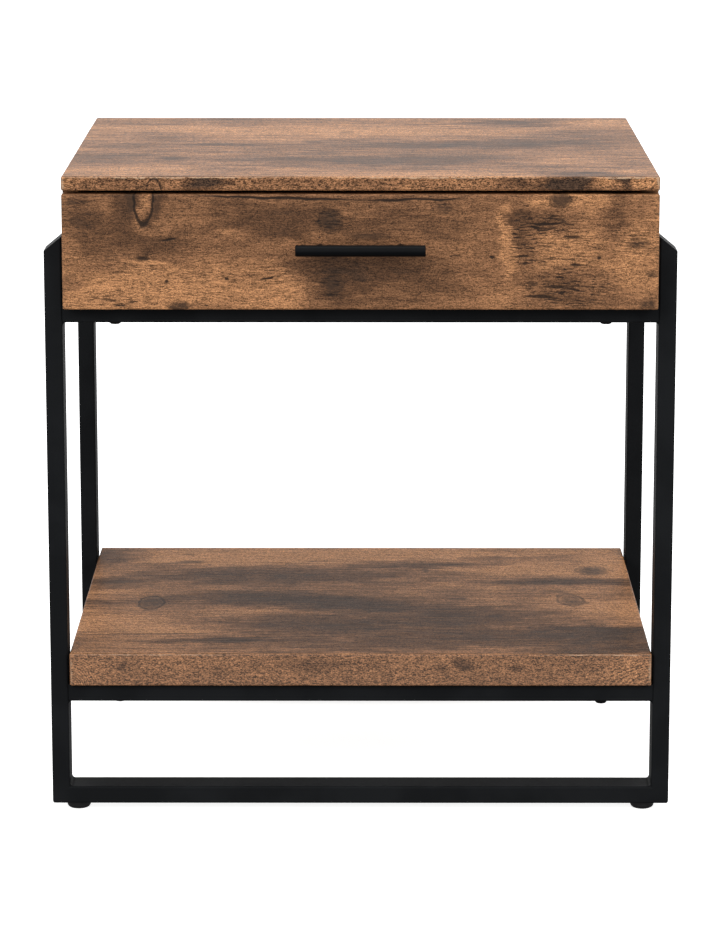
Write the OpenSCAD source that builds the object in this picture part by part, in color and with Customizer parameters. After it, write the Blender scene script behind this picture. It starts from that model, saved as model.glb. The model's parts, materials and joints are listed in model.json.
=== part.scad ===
// Side table with one drawer, a lower shelf and two welded tube frames.
// Origin: floor level, in the middle of the overall width and depth.
// +X is to the right, -Y is the front (drawer) side, +Z is up.

/* [Overall] */
// Width across the outer faces of the uprights
frame_w = 600; // [560:5:640]
// Depth from the front faces to the rear faces of the uprights
frame_d = 440; // [420:5:480]
// Height from the floor to the top surface
height = 625; // [600:5:680]

/* [Steel frame] */
// Face width of the rectangular tube
tube_w = 17; // [16:1:20]
// Depth of the rectangular tube, front to back
tube_d = 34; // [32:1:40]
// Wall thickness of the tube
tube_wall = 1.2; // [1:0.1:1.6]
// Outer corner radius of the tube
tube_r = 2; // [1.7:0.1:2.5]
// Height of an upright at its outer edge
upright_h = 551.5; // [530:0.5:570]
// Rise of the bevelled upright top from its outer to its inner edge
bevel_rise = 14; // [10:1:16]
// Thickness of the plate that closes the bevelled top
cap_t = 1.5; // [1:0.1:2]
// Rounding of the frame's lower corners, seen from the front
outer_r = 3; // [1:0.5:3]
// Radius of the weld fillets in the inner corners
weld_r = 3.5; // [2:0.5:4]

/* [Glides] */
// Height of a glide below the floor rail
glide_h = 8; // [7:0.5:12]
// Diameter of a glide
glide_dia = 23; // [20:1:28]
// Distance of a glide's centre from the outer face of the upright
glide_inset = 24.5; // [23:0.5:30]

/* [Wooden boards] */
// Thickness of the top panel
top_t = 13.5; // [13:0.5:16]
// Distance the top stands out in front of and behind the steel frame
top_overhang = 18; // [17:1:20]
// Gap between the boards and the uprights on each side
board_gap = 2; // [1:0.5:3]
// Height of the shelf's top surface above the floor
shelf_height = 160; // [150:1:200]
// Thickness of the shelf
shelf_t = 32; // [28:1:36]
// Distance the shelf stands out in front of and behind the steel frame
shelf_overhang = 6; // [0:1:10]
// Height of the drawer housing between its rails and the top
body_h = 111.5; // [110:0.5:120]
// Thickness of the housing sides and bottom
side_t = 15; // [15:0.5:16]
// Thickness of the housing's back panel
back_t = 12; // [12:0.5:14]

/* [Drawer] */
// Thickness of the drawer front
front_t = 16; // [15:0.5:17]
// Gap between the top panel and the drawer front
front_gap = 3.2; // [2.5:0.1:4]
// Distance the drawer front reaches below the underside of the housing
front_drop = 1.5; // [0:0.5:3]
// Length of the drawer sides
drawer_len = 400; // [395:1:402]
// Height of the drawer sides
drawer_h = 78; // [76:1:79]
// Thickness of the drawer sides and back
drawer_t = 12; // [12:0.5:13]
// Thickness of the drawer's bottom sheet
sheet_t = 3.2; // [3:0.1:4]
// How far the drawer opens
travel = 380; // [340:5:380]

/* [Handle] */
// Length of the handle bar
handle_len = 122; // [110:1:140]
// Diameter of the handle bar
handle_dia = 10.8; // [9:0.1:12]
// Distance between the two handle posts
post_spacing = 76; // [64:1:96]
// Distance from the drawer front to the bar's axis
standoff = 24; // [20:1:30]
// Height of the bar's axis above the floor
handle_z = 558.3; // [550:0.1:565]

/* [Hidden] */
$fn = 48;

// Overall layout
board_w = frame_w - 2 * tube_w - 2 * board_gap;
top_d = frame_d + 2 * top_overhang;
handle_reach = standoff + handle_dia / 2;
face_y = (handle_reach - top_d) / 2;      // front faces of the top and the drawer
back_y = face_y + top_d;                  // rear edge of the top
front_y = face_y + top_overhang;          // front faces of the uprights
rear_y = front_y + frame_d;               // rear faces of the uprights
tube_y = [front_y, rear_y - tube_d];      // near face of the front and rear tubes
tube_mid = tube_d / 2;

// Levels
shelf_z = shelf_height - shelf_t;
body_z = height - top_t - body_h;
top_z = height - top_t;
rail_z = [glide_h, shelf_z - tube_w, body_z - tube_w];
floor_z = body_z + side_t;                // upper face of the housing bottom

// Housing
inner_x = board_w / 2 - side_t;           // inner face of a housing side
side_mid = board_w / 2 - side_t / 2;
back_inset = 2;
back_front_y = back_y - back_inset - back_t;
body_d = back_y - back_inset - front_y;

// Glides
glide_stem_r = 4;
glide_stem_len = 13;
glide_round = 4;

// Frame bolts, M6, with threaded inserts in the boards
bolt_x = 234;
bolt_r = 2.95;
bolt_head_r = 5.5;
bolt_head_h = 3.5;
bolt_hole_r = 3.3;
insert_r = 5;
insert_len = 13;
insert_bore_r = 3.05;
fit = 0.05;
loose_bolt_drop = 2;                      // the front right shelf bolt is not driven home
bolt_sites = [for (x = [-bolt_x, bolt_x], y = tube_y) [x, y + tube_mid]];

// Cam fittings: cam, cam bolt and dowel
cam_r = 7.5;
cam_bolt_r = 2.5;
cam_bore_r = 3.5;
cam_reach = 24;                           // joint face to cam centre
cam_thread = 9;
cam_head_r = 3.3;
cam_head_len = 3;
dowel_r = 4;
dowel_in = 20;
dowel_out = 9;
small_dowel_r = 3;
small_dowel_len = 12;
housing_cam_depth = 12;
thin_cam_depth = 10;
top_cam_y = [front_y + 60, back_y - 80];
top_dowel_y = [front_y + 25, back_y - 40];
bottom_cam_y = [front_y + 80, back_y - 100];
bottom_dowel_y = [front_y + 50, back_y - 60];
back_cam_z = [floor_z + 20, top_z - 20];
back_mid_y = back_front_y + back_t / 2;
bottom_mid_z = body_z + side_t / 2;

// Drawer
slide_gap = 12.7;                         // housing side to drawer side
drawer_x = inner_x - slide_gap;           // outer face of a drawer side
drawer_in_x = drawer_x - drawer_t;
drawer_mid_x = drawer_x - drawer_t / 2;
front_back_y = face_y + front_t;          // rear face of the drawer front
drawer_end_y = front_back_y + drawer_len;
drawer_z = floor_z + 6;
front_z = body_z - front_drop;
front_h = top_z - front_gap - front_z;
groove_z = drawer_z + 8;
groove_depth = 6;
groove_play = 0.1;
drawer_cam_z = [drawer_z + 25, drawer_z + 63];
drawer_dowel_z = drawer_z + 44;
back_screw_z = [drawer_z + 17, drawer_z + 62];
wood_screw_r = 1.75;
wood_screw_head_r = 3.2;
back_screw_len = 35;

// Handle
post_r = 3.2;
post_x = post_spacing / 2;
handle_y = face_y - standoff;
handle_screw_r = 2;
handle_screw_hole_r = 2.3;
handle_screw_bite = 10;
handle_screw_head_r = 4;
handle_screw_head_h = 2.4;
bar_chamfer = 0.6;

// Drawer slides, measured from the housing side towards the drawer
slide_len = 400;
middle_len = 390;
slide_z = drawer_z + drawer_h / 2;
slide_y = front_y + 2;
sheet = 1.2;
cabinet_half = 17.5;
middle_half = 14.3;
drawer_half = 11.1;
cabinet_lip = 9.5;
middle_x = [2.6, 10.4];
middle_sheet = 1;
drawer_member_x = 5;
ball_r = 1.25;
race_r = 1.35;
outer_ball = [6.5, 15.3];                 // distance from the housing side, half height
inner_ball = [8, 12.1];
cage_t = 0.8;
cage_len = 140;
cage_web = [1.5, 3.9];                    // outer cage, inner cage
cage_edge = [9, 10];
balls_per_row = 8;
slide_screw_y = [48, 180, 330];
slide_screw_len = 11;

// Colours
black_steel = "#1c1e20";
rustic_wood = "#9b7049";
dark_board = "#5a4335";
zinc = "#b9bdc1";
beech = "#d9b98a";
black_plastic = "#17181a";
nylon = "#2b4a7a";

// ---------- shared shapes ----------

// Rectangle with round corners, its lower left corner at the origin
module round_rect(w, h, r) {
    translate([r, 0]) square([w - 2 * r, h]);
    translate([0, r]) square([w, h - 2 * r]);
    for (x = [r, w - r], y = [r, h - r])
        translate([x, y]) circle(r);
}

module tube_section(w, h) {
    difference() {
        round_rect(w, h, tube_r);
        translate([tube_wall, tube_wall])
            round_rect(w - 2 * tube_wall, h - 2 * tube_wall, tube_r - tube_wall);
    }
}

// Cylinder along Y, starting at y = 0
module along_y(r, len) {
    rotate([-90, 0, 0]) cylinder(r = r, h = len);
}

// Cylinder along X, starting at x = 0
module along_x(r, len) {
    rotate([0, 90, 0]) cylinder(r = r, h = len);
}

// Box from its lowest to its highest corner
module block(low, high) {
    translate(low) cube(high - low);
}

module mirrored_if(flip) {
    mirror([flip ? 1 : 0, 0, 0]) children();
}

// ---------- steel frame ----------

// Region below the bevel of the right hand upright, lowered by drop along Z
module below_bevel(drop) {
    x_in = frame_w / 2 - tube_w;
    rotate([90, 0, 0])
        translate([0, 0, -rear_y - 1])
            linear_extrude(frame_d + 2)
                polygon([
                    [x_in - 1, 0],
                    [frame_w / 2 + 1, 0],
                    [frame_w / 2 + 1, upright_h - drop - bevel_rise / tube_w],
                    [x_in - 1, upright_h - drop + bevel_rise + bevel_rise / tube_w]
                ]);
}

// What the rounding takes from the lower right hand corner, through both frames
module corner_waste() {
    half = frame_w / 2;
    rotate([90, 0, 0])
        translate([0, 0, -rear_y - 1])
            linear_extrude(frame_d + 2)
                difference() {
                    translate([half - outer_r, glide_h - 1]) square(outer_r + 1);
                    translate([half - outer_r, glide_h + outer_r]) circle(outer_r);
                }
}

// Wedge that the mitred floor rail takes from the foot of the right hand upright
module mitre_wedge() {
    x_in = frame_w / 2 - tube_w;
    rotate([90, 0, 0])
        translate([0, 0, -rear_y - 1])
            linear_extrude(frame_d + 2)
                polygon([
                    [x_in - 1, glide_h - 1],
                    [frame_w / 2 + 1, glide_h - 1],
                    [x_in - 1, glide_h + tube_w + 1]
                ]);
}

module upright(y, flip) {
    drop = cap_t * sqrt(1 + pow(bevel_rise / tube_w, 2));
    color(black_steel) mirrored_if(flip)
        difference() {
            intersection() {
                translate([frame_w / 2 - tube_w, y, glide_h])
                    linear_extrude(height) tube_section(tube_w, tube_d);
                below_bevel(drop);
            }
            mitre_wedge();
            corner_waste();
        }
}

module upright_caps() {
    drop = cap_t * sqrt(1 + pow(bevel_rise / tube_w, 2));
    color(black_steel)
        for (y = tube_y, flip = [false, true])
            mirrored_if(flip)
                difference() {
                    intersection() {
                        translate([frame_w / 2 - tube_w, y, upright_h - 2 * bevel_rise])
                            linear_extrude(4 * bevel_rise) round_rect(tube_w, tube_d, tube_r);
                        below_bevel(0);
                    }
                    below_bevel(drop);
                }
}

// Concave fillet in the corner between a rail and the right hand upright
module weld(y, z, up) {
    s = up ? 1 : -1;
    x_in = frame_w / 2 - tube_w;
    translate([x_in, y + tube_d - tube_r, z])
        rotate([90, 0, 0])
            linear_extrude(tube_d - 2 * tube_r)
                difference() {
                    translate([-weld_r, up ? 0 : -weld_r]) square(weld_r);
                    translate([-weld_r, s * weld_r]) circle(weld_r);
                }
}

// Tube along X between the given ends
module rail_tube(x0, x1, y, z) {
    translate([x0, y, z])
        rotate([90, 0, 90])
            linear_extrude(x1 - x0) tube_section(tube_d, tube_w);
}

module floor_rail(y) {
    half = frame_w / 2;
    color(black_steel)
        difference() {
            rail_tube(-half, half, y, glide_h);
            for (flip = [false, true])
                mirrored_if(flip) {
                    rotate([90, 0, 0])
                        translate([0, 0, -rear_y - 1])
                            linear_extrude(frame_d + 2)
                                polygon([
                                    [half, glide_h],
                                    [half + 1, glide_h - 1],
                                    [half + 1, glide_h + tube_w + 1],
                                    [half - tube_w - 1, glide_h + tube_w + 1]
                                ]);
                    corner_waste();
                }
            for (x = [-1, 1])
                translate([x * (half - glide_inset), y + tube_mid, glide_h - 1])
                    cylinder(r = glide_stem_r + 2 * fit, h = tube_wall + 2);
        }
}

// Rail under a board, with clearance holes for the bolts
module board_rail(y, z) {
    end = frame_w / 2 - tube_w;
    color(black_steel)
        difference() {
            rail_tube(-end, end, y, z);
            for (x = [-bolt_x, bolt_x])
                translate([x, y + tube_mid, z - 1])
                    cylinder(r = bolt_hole_r, h = tube_w + 2);
        }
}

module weld_beads() {
    color(black_steel)
        for (y = tube_y, flip = [false, true])
            mirrored_if(flip) {
                weld(y, glide_h + tube_w, true);
                weld(y, rail_z[1], false);
                weld(y, rail_z[2], false);
            }
}

module front_left_upright() { upright(tube_y[0], true); }
module front_right_upright() { upright(tube_y[0], false); }
module rear_left_upright() { upright(tube_y[1], true); }
module rear_right_upright() { upright(tube_y[1], false); }
module front_floor_rail() { floor_rail(tube_y[0]); }
module rear_floor_rail() { floor_rail(tube_y[1]); }
module front_shelf_rail() { board_rail(tube_y[0], rail_z[1]); }
module rear_shelf_rail() { board_rail(tube_y[1], rail_z[1]); }
module front_drawer_rail() { board_rail(tube_y[0], rail_z[2]); }
module rear_drawer_rail() { board_rail(tube_y[1], rail_z[2]); }

// ---------- glides ----------

// Round foot with a rounded lower edge and a stem pushed into the rail
module glide(x, y) {
    r = glide_dia / 2;
    color(black_plastic)
        translate([x * (frame_w / 2 - glide_inset), y + tube_mid, 0])
            rotate_extrude() {
                square([r - glide_round, glide_h]);
                translate([0, glide_round]) square([r, glide_h - glide_round]);
                intersection() {
                    translate([r - glide_round, glide_round]) circle(glide_round);
                    square([r, glide_h]);
                }
                square([glide_stem_r, glide_h + glide_stem_len]);
            }
}

module front_left_glide() { glide(-1, tube_y[0]); }
module front_right_glide() { glide(1, tube_y[0]); }
module rear_left_glide() { glide(-1, tube_y[1]); }
module rear_right_glide() { glide(1, tube_y[1]); }

// ---------- bolts and inserts ----------

// Pan head bolt that passes up through a rail into a board
module frame_bolt(site, z, drop) {
    reach = tube_w + insert_len - 2;
    translate([site[0], site[1], z - drop]) {
        cylinder(r = bolt_r, h = reach);
        difference() {
            translate([0, 0, -bolt_head_h]) cylinder(r1 = bolt_head_r - 1, r2 = bolt_head_r, h = 1);
            translate([0, 0, -bolt_head_h - 1]) cylinder(r = 2, h = 3, $fn = 6);
        }
        difference() {
            translate([0, 0, 1 - bolt_head_h]) cylinder(r = bolt_head_r, h = bolt_head_h - 1);
            translate([0, 0, -bolt_head_h]) cylinder(r = 2, h = 2, $fn = 6);
        }
    }
}

module insert_ring(site, z) {
    translate([site[0], site[1], z])
        difference() {
            cylinder(r = insert_r, h = insert_len);
            translate([0, 0, -1]) cylinder(r = insert_bore_r, h = insert_len + 2);
        }
}

// Bores that take the inserts from below
module insert_bores(z) {
    for (site = bolt_sites)
        translate([site[0], site[1], z - 1]) cylinder(r = insert_r + fit, h = insert_len + 1);
}

module shelf_bolts() {
    color(black_steel)
        for (site = bolt_sites)
            frame_bolt(site, rail_z[1], site == [bolt_x, front_y + tube_mid] ? loose_bolt_drop : 0);
}

module shelf_inserts() {
    color(zinc) for (site = bolt_sites) insert_ring(site, shelf_z);
}

module housing_bolts() {
    color(black_steel) for (site = bolt_sites) frame_bolt(site, rail_z[2], 0);
}

module housing_inserts() {
    color(zinc) for (site = bolt_sites) insert_ring(site, body_z);
}

// ---------- cam fittings ----------

// Cam bolt along +Z: its thread below the joint face at z = 0, its head in the cam
module cam_bolt() {
    translate([0, 0, -cam_thread]) cylinder(r = cam_bolt_r, h = cam_thread + cam_reach - cam_head_len / 2);
    translate([0, 0, cam_reach - cam_head_len / 2]) cylinder(r = cam_head_r, h = cam_head_len);
}

// Space for a cam bolt in the board that holds its thread
module cam_thread_bore() {
    translate([0, 0, -cam_thread - 0.5]) cylinder(r = cam_bolt_r + fit, h = cam_thread + 1);
}

// Space for the bolt and the cam in the other board; the cam opens towards -X
module cam_pocket(board_mid, depth) {
    translate([0, 0, -1]) cylinder(r = cam_bore_r, h = cam_reach + 1);
    translate([-board_mid - 1, 0, cam_reach]) along_x(cam_r + fit, depth + 1);
}

// Cam in its pocket, slotted for the bolt and cross cut for the screwdriver
module cam(board_mid, depth) {
    difference() {
        translate([-board_mid, 0, cam_reach]) along_x(cam_r, depth - 0.2);
        translate([0, 0, cam_reach - cam_r - 1]) cylinder(r = cam_bore_r, h = cam_r + 1 + cam_head_len);
        for (a = [45, 135])
            translate([-board_mid, 0, cam_reach])
                rotate([a, 0, 0]) cube([3, 1.2, 9], center = true);
    }
}

// Where the fittings between the housing boards stand, seen on the right hand side
module at_top_cams() {
    for (y = top_cam_y) translate([side_mid, y, top_z]) rotate([180, 0, 0]) children();
}

module at_bottom_cams() {
    for (y = bottom_cam_y)
        translate([inner_x, y, bottom_mid_z]) rotate([0, -90, 0]) children();
}

module at_back_cams() {
    for (z = back_cam_z)
        translate([inner_x, back_mid_y, z]) rotate([0, -90, 0]) rotate([0, 0, 90]) children();
}

module dowel(r, into, out, play) {
    translate([0, 0, -out - play]) cylinder(r = r + play, h = into + out + 2 * play);
}

module at_top_dowels() {
    for (y = top_dowel_y) translate([side_mid, y, top_z]) rotate([180, 0, 0]) children();
}

module at_bottom_dowels() {
    for (y = bottom_dowel_y) translate([inner_x, y, bottom_mid_z]) rotate([0, -90, 0]) children();
}

module both_sides() {
    for (flip = [false, true]) mirrored_if(flip) children();
}

module housing_cam_bolts() {
    color(zinc) both_sides() {
        at_top_cams() cam_bolt();
        at_bottom_cams() cam_bolt();
        at_back_cams() cam_bolt();
    }
}

module housing_cams() {
    color(zinc) both_sides() {
        at_top_cams() cam(side_t / 2, housing_cam_depth);
        at_bottom_cams() cam(side_t / 2, housing_cam_depth);
        at_back_cams() cam(back_t / 2, thin_cam_depth);
    }
}

module housing_dowels() {
    color(beech) both_sides() {
        at_top_dowels() dowel(dowel_r, dowel_in, dowel_out, 0);
        at_bottom_dowels() dowel(dowel_r, dowel_in, dowel_out, 0);
    }
}

// ---------- shelf, top and drawer housing ----------

module shelf_board() {
    color(rustic_wood)
        difference() {
            block([-board_w / 2, front_y - shelf_overhang, shelf_z],
                  [board_w / 2, rear_y + shelf_overhang, shelf_height]);
            insert_bores(shelf_z);
        }
}

module top_panel() {
    color(rustic_wood)
        difference() {
            block([-board_w / 2, face_y, top_z], [board_w / 2, back_y, height]);
            both_sides() {
                at_top_cams() cam_thread_bore();
                at_top_dowels() dowel(dowel_r, dowel_in, dowel_out, fit);
            }
        }
}

module housing_side(flip) {
    color(rustic_wood) mirrored_if(flip)
        difference() {
            block([inner_x, front_y, body_z], [board_w / 2, back_y, top_z]);
            at_top_cams() cam_pocket(side_t / 2, housing_cam_depth);
            at_bottom_cams() cam_thread_bore();
            at_back_cams() cam_thread_bore();
            at_top_dowels() dowel(dowel_r, dowel_in, dowel_out, fit);
            at_bottom_dowels() dowel(dowel_r, dowel_in, dowel_out, fit);
            for (y = slide_screw_y)
                translate([inner_x - 1, slide_y + y, slide_z])
                    along_x(wood_screw_r + fit, slide_screw_len + 1);
        }
}

module housing_left_side() { housing_side(true); }
module housing_right_side() { housing_side(false); }

module housing_bottom() {
    color(dark_board)
        difference() {
            block([-inner_x, front_y, body_z], [inner_x, front_y + body_d, floor_z]);
            insert_bores(body_z);
            both_sides() {
                at_bottom_cams() cam_pocket(side_t / 2, housing_cam_depth);
                at_bottom_dowels() dowel(dowel_r, dowel_in, dowel_out, fit);
            }
        }
}

module housing_back() {
    color(rustic_wood)
        difference() {
            block([-inner_x, back_front_y, floor_z], [inner_x, back_front_y + back_t, top_z]);
            both_sides() at_back_cams() cam_pocket(back_t / 2, thin_cam_depth);
        }
}

// ---------- drawer ----------

// Joints between the drawer front and the right hand drawer side
module at_drawer_cams() {
    for (z = drawer_cam_z)
        translate([drawer_mid_x, front_back_y, z]) rotate([-90, 0, 0]) children();
}

module at_drawer_dowels() {
    translate([drawer_mid_x, front_back_y, drawer_dowel_z]) rotate([-90, 0, 0]) children();
}

// Countersunk wood screw along -X, its head flush with the face at x = 0
module wood_screw(len, head_len, play) {
    translate([-len - 2 * play, 0, 0]) along_x(wood_screw_r + play, len + 2 * play);
    translate([-head_len, 0, 0])
        rotate([0, 90, 0])
            cylinder(r1 = wood_screw_r + play, r2 = wood_screw_head_r + play, h = head_len);
}

module at_back_screws() {
    for (z = back_screw_z)
        translate([drawer_x, drawer_end_y - drawer_t / 2, z]) children();
}

module drawer_groove(play) {
    block([-drawer_in_x - groove_depth + 0.5 - play, front_back_y - groove_depth + 0.5 - play,
           groove_z - play],
          [drawer_in_x + groove_depth - 0.5 + play, drawer_end_y - drawer_t + groove_depth - 0.5 + play,
           groove_z + sheet_t + play]);
}

module drawer_front() {
    color(rustic_wood)
        difference() {
            block([-board_w / 2, face_y, front_z], [board_w / 2, front_back_y, front_z + front_h]);
            drawer_groove(groove_play);
            both_sides() {
                at_drawer_cams() cam_thread_bore();
                at_drawer_dowels() dowel(small_dowel_r, small_dowel_len, small_dowel_len, fit);
                translate([post_x, face_y - 1, handle_z]) along_y(handle_screw_hole_r, front_t + 2);
            }
        }
}

module drawer_side(flip) {
    color(dark_board) mirrored_if(flip)
        difference() {
            block([drawer_in_x, front_back_y, drawer_z],
                  [drawer_x, drawer_end_y, drawer_z + drawer_h]);
            drawer_groove(groove_play);
            at_drawer_cams() cam_pocket(drawer_t / 2, thin_cam_depth);
            at_drawer_dowels() dowel(small_dowel_r, small_dowel_len, small_dowel_len, fit);
            at_back_screws() wood_screw(back_screw_len, 2, fit);
            for (y = slide_screw_y)
                translate([drawer_x - slide_screw_len + 1, slide_y + y, slide_z])
                    along_x(wood_screw_r + fit, slide_screw_len);
        }
}

module drawer_left_side() { drawer_side(true); }
module drawer_right_side() { drawer_side(false); }

module drawer_back() {
    color(dark_board)
        difference() {
            block([-drawer_in_x, drawer_end_y - drawer_t, drawer_z],
                  [drawer_in_x, drawer_end_y, drawer_z + drawer_h - 4]);
            drawer_groove(groove_play);
            both_sides() at_back_screws() wood_screw(back_screw_len, 2, fit);
        }
}

module drawer_bottom() {
    color(dark_board) drawer_groove(0);
}

module drawer_cam_bolts() {
    color(zinc) both_sides() at_drawer_cams() cam_bolt();
}

module drawer_cams() {
    color(zinc) both_sides() at_drawer_cams() cam(drawer_t / 2, thin_cam_depth);
}

module drawer_dowels() {
    color(beech) both_sides() at_drawer_dowels()
        dowel(small_dowel_r, small_dowel_len - 0.5, small_dowel_len - 0.5, 0);
}

module drawer_back_screws() {
    color(zinc) both_sides() at_back_screws() wood_screw(back_screw_len, 2, 0);
}

// ---------- handle ----------

module handle() {
    color(black_steel)
        difference() {
            union() {
                translate([-handle_len / 2, handle_y, handle_z])
                    rotate([0, 90, 0])
                        rotate_extrude()
                            polygon([
                                [0, 0],
                                [handle_dia / 2 - bar_chamfer, 0],
                                [handle_dia / 2, bar_chamfer],
                                [handle_dia / 2, handle_len - bar_chamfer],
                                [handle_dia / 2 - bar_chamfer, handle_len],
                                [0, handle_len]
                            ]);
                for (x = [-post_x, post_x])
                    translate([x, handle_y, handle_z]) along_y(post_r, standoff);
            }
            for (x = [-post_x, post_x])
                translate([x, face_y - handle_screw_bite - 1, handle_z])
                    along_y(handle_screw_r + fit, handle_screw_bite + 2);
        }
}

module handle_screws() {
    color(zinc)
        for (x = [-post_x, post_x])
            translate([x, 0, handle_z]) {
                translate([0, face_y - handle_screw_bite, 0])
                    along_y(handle_screw_r, handle_screw_bite + front_t);
                difference() {
                    translate([0, front_back_y, 0]) along_y(handle_screw_head_r, handle_screw_head_h);
                    for (a = [0, 90])
                        translate([0, front_back_y + handle_screw_head_h, 0])
                            rotate([0, a, 0]) cube([1, 2, 5], center = true);
                }
            }
}

// ---------- drawer slides ----------

// Places a right hand slide: x = 0 on the housing side, x grows towards the drawer
module at_slide(flip) {
    mirrored_if(flip) translate([inner_x, slide_y, slide_z]) mirror([1, 0, 0]) children();
}

// Channel of sheet metal along Y with its web at x0 or at x1
module channel(x0, x1, half, t, len, web_first) {
    for (s = [-1, 1])
        block([x0, 0, s > 0 ? half - t : -half], [x1, len, s > 0 ? half : t - half]);
    if (web_first) block([x0, 0, -half], [x0 + t, len, half]);
    else block([x1 - t, 0, -half], [x1, len, half]);
}

module ball_races(ball, len) {
    for (s = [-1, 1])
        translate([ball[0], -1, s * ball[1]]) along_y(race_r, len + 2);
}

module cabinet_member(flip) {
    color(zinc) at_slide(flip)
        difference() {
            channel(0, cabinet_lip, cabinet_half, sheet, slide_len, true);
            ball_races(outer_ball, slide_len);
            for (y = slide_screw_y) translate([sheet, y, 0]) wood_screw(slide_screw_len, sheet, fit);
        }
}

module middle_member(flip) {
    color(zinc) at_slide(flip)
        difference() {
            channel(middle_x[0], middle_x[1], middle_half, sheet, middle_len, true);
            ball_races(outer_ball, middle_len);
            ball_races(inner_ball, middle_len);
        }
}

module drawer_member(flip) {
    color(zinc) at_slide(flip)
        difference() {
            channel(drawer_member_x, slide_gap, drawer_half, sheet, slide_len, false);
            ball_races(inner_ball, slide_len);
            for (y = slide_screw_y)
                translate([slide_gap - sheet, y, 0])
                    mirror([1, 0, 0]) wood_screw(slide_screw_len - 1, sheet, fit);
        }
}

module ball_cage(flip, web, edge, ball) {
    pitch = cage_len / balls_per_row;
    half = ball[1] + cage_t / 2;
    color(nylon) at_slide(flip)
        translate([0, (slide_len - cage_len) / 2, 0])
            difference() {
                channel(web, edge, half, cage_t, cage_len, true);
                for (i = [0 : balls_per_row - 1], s = [-1, 1])
                    translate([ball[0], (i + 0.5) * pitch, s * ball[1] - 1])
                        cylinder(r = ball_r + fit, h = 2);
            }
    color(zinc) at_slide(flip)
        for (i = [0 : balls_per_row - 1], s = [-1, 1])
            translate([ball[0], (slide_len - cage_len) / 2 + (i + 0.5) * pitch, s * ball[1]])
                sphere(r = ball_r, $fn = 24);
}

module left_cabinet_member() { cabinet_member(true); }
module right_cabinet_member() { cabinet_member(false); }
module left_middle_member() { middle_member(true); }
module right_middle_member() { middle_member(false); }
module left_drawer_member() { drawer_member(true); }
module right_drawer_member() { drawer_member(false); }
module left_outer_ball_cage() { ball_cage(true, cage_web[0], cage_edge[0], outer_ball); }
module right_outer_ball_cage() { ball_cage(false, cage_web[0], cage_edge[0], outer_ball); }
module left_inner_ball_cage() { ball_cage(true, cage_web[1], cage_edge[1], inner_ball); }
module right_inner_ball_cage() { ball_cage(false, cage_web[1], cage_edge[1], inner_ball); }

module cabinet_member_screws() {
    color(zinc)
        for (flip = [false, true], y = slide_screw_y)
            at_slide(flip) translate([sheet, y, 0]) wood_screw(slide_screw_len, sheet, 0);
}

module drawer_member_screws() {
    color(zinc)
        for (flip = [false, true], y = slide_screw_y)
            at_slide(flip)
                translate([slide_gap - sheet, y, 0])
                    mirror([1, 0, 0]) wood_screw(slide_screw_len - 1, sheet, 0);
}

// ---------- nodes ----------

front_left_upright();
front_right_upright();
rear_left_upright();
rear_right_upright();
upright_caps();
front_floor_rail();
front_shelf_rail();
front_drawer_rail();
rear_floor_rail();
rear_shelf_rail();
rear_drawer_rail();
weld_beads();
front_left_glide();
front_right_glide();
rear_left_glide();
rear_right_glide();
shelf_board();
shelf_bolts();
shelf_inserts();
top_panel();
housing_left_side();
housing_right_side();
housing_bottom();
housing_back();
housing_bolts();
housing_inserts();
housing_cam_bolts();
housing_cams();
housing_dowels();
drawer_front();
drawer_left_side();
drawer_right_side();
drawer_back();
drawer_bottom();
drawer_cam_bolts();
drawer_cams();
drawer_dowels();
drawer_back_screws();
handle();
handle_screws();
left_cabinet_member();
right_cabinet_member();
cabinet_member_screws();
left_middle_member();
right_middle_member();
left_drawer_member();
right_drawer_member();
drawer_member_screws();
left_outer_ball_cage();
right_outer_ball_cage();
left_inner_ball_cage();
right_inner_ball_cage();
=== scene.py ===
import json
import math
from collections import namedtuple

import bmesh
import bpy
import numpy as np
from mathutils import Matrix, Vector, noise

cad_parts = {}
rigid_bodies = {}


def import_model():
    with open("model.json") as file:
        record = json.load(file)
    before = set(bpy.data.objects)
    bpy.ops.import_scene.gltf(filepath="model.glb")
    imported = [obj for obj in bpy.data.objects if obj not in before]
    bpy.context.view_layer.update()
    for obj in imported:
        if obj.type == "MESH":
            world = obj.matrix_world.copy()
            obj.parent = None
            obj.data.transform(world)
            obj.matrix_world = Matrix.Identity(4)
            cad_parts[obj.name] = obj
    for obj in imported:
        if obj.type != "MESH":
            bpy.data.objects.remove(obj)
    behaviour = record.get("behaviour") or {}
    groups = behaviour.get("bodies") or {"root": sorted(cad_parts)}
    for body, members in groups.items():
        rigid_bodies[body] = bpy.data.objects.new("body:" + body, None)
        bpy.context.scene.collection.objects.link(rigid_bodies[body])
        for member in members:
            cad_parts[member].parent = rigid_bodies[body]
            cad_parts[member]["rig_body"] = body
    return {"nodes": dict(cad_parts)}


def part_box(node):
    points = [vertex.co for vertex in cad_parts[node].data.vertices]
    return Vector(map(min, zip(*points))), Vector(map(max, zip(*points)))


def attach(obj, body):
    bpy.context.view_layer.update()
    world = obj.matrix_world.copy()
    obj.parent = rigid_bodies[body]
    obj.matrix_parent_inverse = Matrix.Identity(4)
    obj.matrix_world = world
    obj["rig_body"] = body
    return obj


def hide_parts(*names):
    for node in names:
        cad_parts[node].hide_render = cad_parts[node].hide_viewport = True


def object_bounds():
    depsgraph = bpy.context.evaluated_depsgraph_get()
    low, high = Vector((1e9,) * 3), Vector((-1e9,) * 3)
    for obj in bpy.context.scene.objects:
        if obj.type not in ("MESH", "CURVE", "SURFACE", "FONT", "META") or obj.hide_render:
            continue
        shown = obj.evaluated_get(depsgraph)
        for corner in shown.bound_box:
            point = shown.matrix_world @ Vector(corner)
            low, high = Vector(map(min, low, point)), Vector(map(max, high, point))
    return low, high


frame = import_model()
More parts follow.
